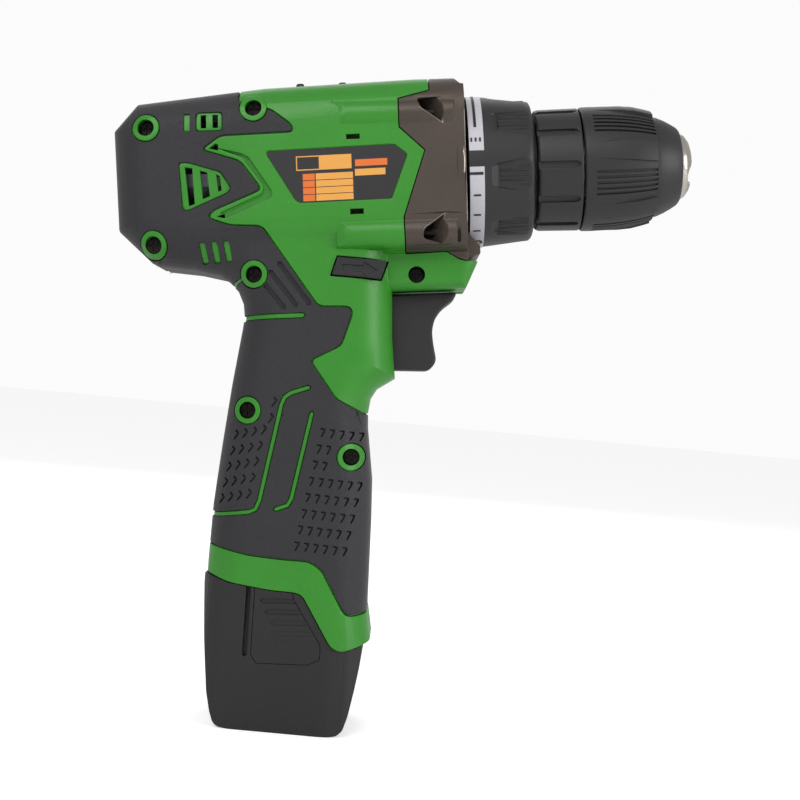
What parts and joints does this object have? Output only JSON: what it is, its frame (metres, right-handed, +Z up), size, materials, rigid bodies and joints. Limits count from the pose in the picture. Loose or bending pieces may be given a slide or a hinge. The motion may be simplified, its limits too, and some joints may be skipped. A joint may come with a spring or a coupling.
{
  "type": "cordless drill",
  "caption": "Pistol-grip cordless drill driver with a keyless chuck, torque collar, two-speed switch, planetary gearbox and slide-in battery pack.",
  "frame": {"origin": "middle of the bottom of the whole drill's box; the battery's flat base stands on z = 0", "axes": "+X towards the chuck's nose, +Y to the tool's left, +Z up; the barrel points 7 degrees above +X"},
  "size_m": [0.1704, 0.048, 0.1939],
  "materials": {
    "green_shell": "moulded ABS, fine texture",
    "soft_grip": "soft-touch elastomer",
    "gear_case_alloy": "bronze-grey metallic paint",
    "black_plastic": "glass-filled nylon, fine texture",
    "nylon": "natural nylon",
    "carbon": "sintered",
    "copper": "copper and laminations",
    "cell_wrap": "shrink sleeve over a steel can",
    "black_steel": "black oxide",
    "bright_steel": "ground"
  },
  "bodies": {
    "housing": {"housing_right": "green_shell", "housing_left": "green_shell", "overmould_right": "soft_grip", "overmould_left": "soft_grip", "gear_case": "gear_case_alloy", "motor_can": "bright_steel", "motor_end_bell": "nylon", "magnet_upper": "carbon", "magnet_lower": "carbon", "brush_right": "carbon", "brush_left": "carbon", "first_ring_gear": "black_steel", "spindle_bearing": "bright_steel", "clutch_spring": "bright_steel", "switch_module": "black_plastic", "trigger_spring": "bright_steel", "terminal_block": "black_plastic", "housing_screw_1": "black_steel", "housing_screw_2": "black_steel", "housing_screw_3": "black_steel", "housing_screw_4": "black_steel", "housing_screw_5": "black_steel", "housing_screw_6": "black_steel", "housing_screw_7": "black_steel", "case_screw_1": "bright_steel", "case_screw_2": "bright_steel", "case_screw_3": "bright_steel", "case_screw_4": "bright_steel"},
    "motor_rotor": {"armature": "copper", "commutator": "copper", "motor_fan": "nylon", "motor_pinion": "bright_steel"},
    "first_carrier": {"first_carrier": "bright_steel"},
    "spindle": {"spindle": "bright_steel", "chuck_body": "bright_steel", "chuck_rear_sleeve": "black_plastic", "chuck_screw": "black_steel"},
    "chuck_sleeve": {"chuck_front_sleeve": "black_plastic", "chuck_nut": "black_steel"},
    "torque_collar": {"torque_collar": "black_plastic"},
    "speed_selector": {"speed_selector": "black_plastic", "second_ring_gear": "black_steel"},
    "trigger": {"trigger": "black_plastic"},
    "direction_selector": {"direction_selector": "black_plastic"},
    "battery": {"battery_tub": "black_plastic", "battery_post": "black_plastic", "battery_cell_1": "cell_wrap", "battery_cell_2": "cell_wrap", "battery_cell_3": "cell_wrap"},
    "battery_latch_right": {"battery_latch_right": "black_plastic"},
    "battery_latch_left": {"battery_latch_left": "black_plastic"},
    "first_planet_1": {"first_planet_1": "bright_steel"},
    "second_planet_1": {"second_planet_1": "bright_steel"},
    "first_planet_2": {"first_planet_2": "bright_steel"},
    "second_planet_2": {"second_planet_2": "bright_steel"},
    "first_planet_3": {"first_planet_3": "bright_steel"},
    "second_planet_3": {"second_planet_3": "bright_steel"},
    "chuck_jaw_1": {"chuck_jaw_1": "black_steel"},
    "chuck_jaw_2": {"chuck_jaw_2": "black_steel"},
    "chuck_jaw_3": {"chuck_jaw_3": "black_steel"}
  },
  "joints": [
    {"name": "chuck_spin", "type": "hinge", "parent": "housing", "child": "spindle", "pos_m": [0.01767, 0, 0.1682], "axis": [0.9925, 0, 0.1219], "continuous": true},
    {"name": "rotor_spin", "type": "hinge", "parent": "housing", "child": "motor_rotor", "pos_m": [-0.04188, 0, 0.16089], "axis": [0.9925, 0, 0.1219], "continuous": true},
    {"name": "first_carrier_spin", "type": "hinge", "parent": "housing", "child": "first_carrier", "pos_m": [-0.01111, 0, 0.16467], "axis": [0.9925, 0, 0.1219], "continuous": true},
    {"name": "first_planet_1_spin", "type": "hinge", "parent": "first_carrier", "child": "first_planet_1", "pos_m": [-0.01673, 0, 0.1735], "axis": [0.9925, 0, 0.1219], "continuous": true},
    {"name": "second_planet_1_spin", "type": "hinge", "parent": "spindle", "child": "second_planet_1", "pos_m": [-0.00732, 0, 0.1748], "axis": [0.9925, 0, 0.1219], "continuous": true},
    {"name": "first_planet_2_spin", "type": "hinge", "parent": "first_carrier", "child": "first_planet_2", "pos_m": [-0.015, -0.00818, 0.15943], "axis": [0.9925, 0, 0.1219], "continuous": true},
    {"name": "second_planet_2_spin", "type": "hinge", "parent": "spindle", "child": "second_planet_2", "pos_m": [-0.00556, -0.00831, 0.16051], "axis": [0.9925, 0, 0.1219], "continuous": true},
    {"name": "first_planet_3_spin", "type": "hinge", "parent": "first_carrier", "child": "first_planet_3", "pos_m": [-0.015, 0.00818, 0.15943], "axis": [0.9925, 0, 0.1219], "continuous": true},
    {"name": "second_planet_3_spin", "type": "hinge", "parent": "spindle", "child": "second_planet_3", "pos_m": [-0.00556, 0.00831, 0.16051], "axis": [0.9925, 0, 0.1219], "continuous": true},
    {"name": "chuck_sleeve_turn", "type": "hinge", "parent": "spindle", "child": "chuck_sleeve", "pos_m": [0.0673, 0, 0.17429], "axis": [0.9925, 0, 0.1219], "range_deg": [-2880, 0]},
    {"name": "chuck_jaw_1_slide", "type": "slide", "parent": "spindle", "child": "chuck_jaw_1", "axis": [0.9903, 0, -0.1392], "range_m": [0, 0.0174]},
    {"name": "chuck_jaw_2_slide", "type": "slide", "parent": "spindle", "child": "chuck_jaw_2", "axis": [0.943, 0.2241, 0.2462], "range_m": [0, 0.0174]},
    {"name": "chuck_jaw_3_slide", "type": "slide", "parent": "spindle", "child": "chuck_jaw_3", "axis": [0.943, -0.2241, 0.2462], "range_m": [0, 0.0174]},
    {"name": "torque_collar_turn", "type": "hinge", "parent": "housing", "child": "torque_collar", "pos_m": [0.0276, 0, 0.16942], "axis": [0.9925, 0, 0.1219], "range_deg": [0, 288]},
    {"name": "speed_shift", "type": "slide", "parent": "housing", "child": "speed_selector", "axis": [0.9925, 0, 0.1219], "range_m": [0, 0.0045]},
    {"name": "trigger_pull", "type": "slide", "parent": "housing", "child": "trigger", "axis": [-0.9925, 0, -0.1219], "range_m": [0, 0.006], "stiffness_N_per_m": 900, "springref_m": -0.002, "deforming": ["trigger_spring"]},
    {"name": "direction_slide", "type": "slide", "parent": "housing", "child": "direction_selector", "axis": [0, 1, 0], "range_m": [-0.0025, 0.0025]},
    {"name": "battery_slide", "type": "slide", "parent": "housing", "child": "battery", "axis": [0, 0, -1], "range_m": [0, 0.07]},
    {"name": "battery_latch_right_press", "type": "hinge", "parent": "battery", "child": "battery_latch_right", "pos_m": [-0.02863, -0.02085, 0.021], "axis": [1, 0, 0], "range_deg": [-3, 0], "stiffness_Nm_per_rad": 0.4},
    {"name": "battery_latch_left_press", "type": "hinge", "parent": "battery", "child": "battery_latch_left", "pos_m": [-0.02863, 0.02085, 0.021], "axis": [1, 0, 0], "range_deg": [0, 3], "stiffness_Nm_per_rad": 0.4}
  ],
  "couplings": [
    {"joint": "rotor_spin", "follows": "chuck_spin", "ratio": 18.667},
    {"joint": "first_carrier_spin", "follows": "chuck_spin", "ratio": 4},
    {"joint": "first_planet_1_spin", "follows": "chuck_spin", "ratio": -11},
    {"joint": "second_planet_1_spin", "follows": "chuck_spin", "ratio": -3},
    {"joint": "first_planet_2_spin", "follows": "chuck_spin", "ratio": -11},
    {"joint": "second_planet_2_spin", "follows": "chuck_spin", "ratio": -3},
    {"joint": "first_planet_3_spin", "follows": "chuck_spin", "ratio": -11},
    {"joint": "second_planet_3_spin", "follows": "chuck_spin", "ratio": -3},
    {"joint": "chuck_jaw_1_slide", "follows": "chuck_sleeve_turn", "m_per_rad": -0.0003459},
    {"joint": "chuck_jaw_2_slide", "follows": "chuck_sleeve_turn", "m_per_rad": -0.0003459},
    {"joint": "chuck_jaw_3_slide", "follows": "chuck_sleeve_turn", "m_per_rad": -0.0003459}
  ]
}
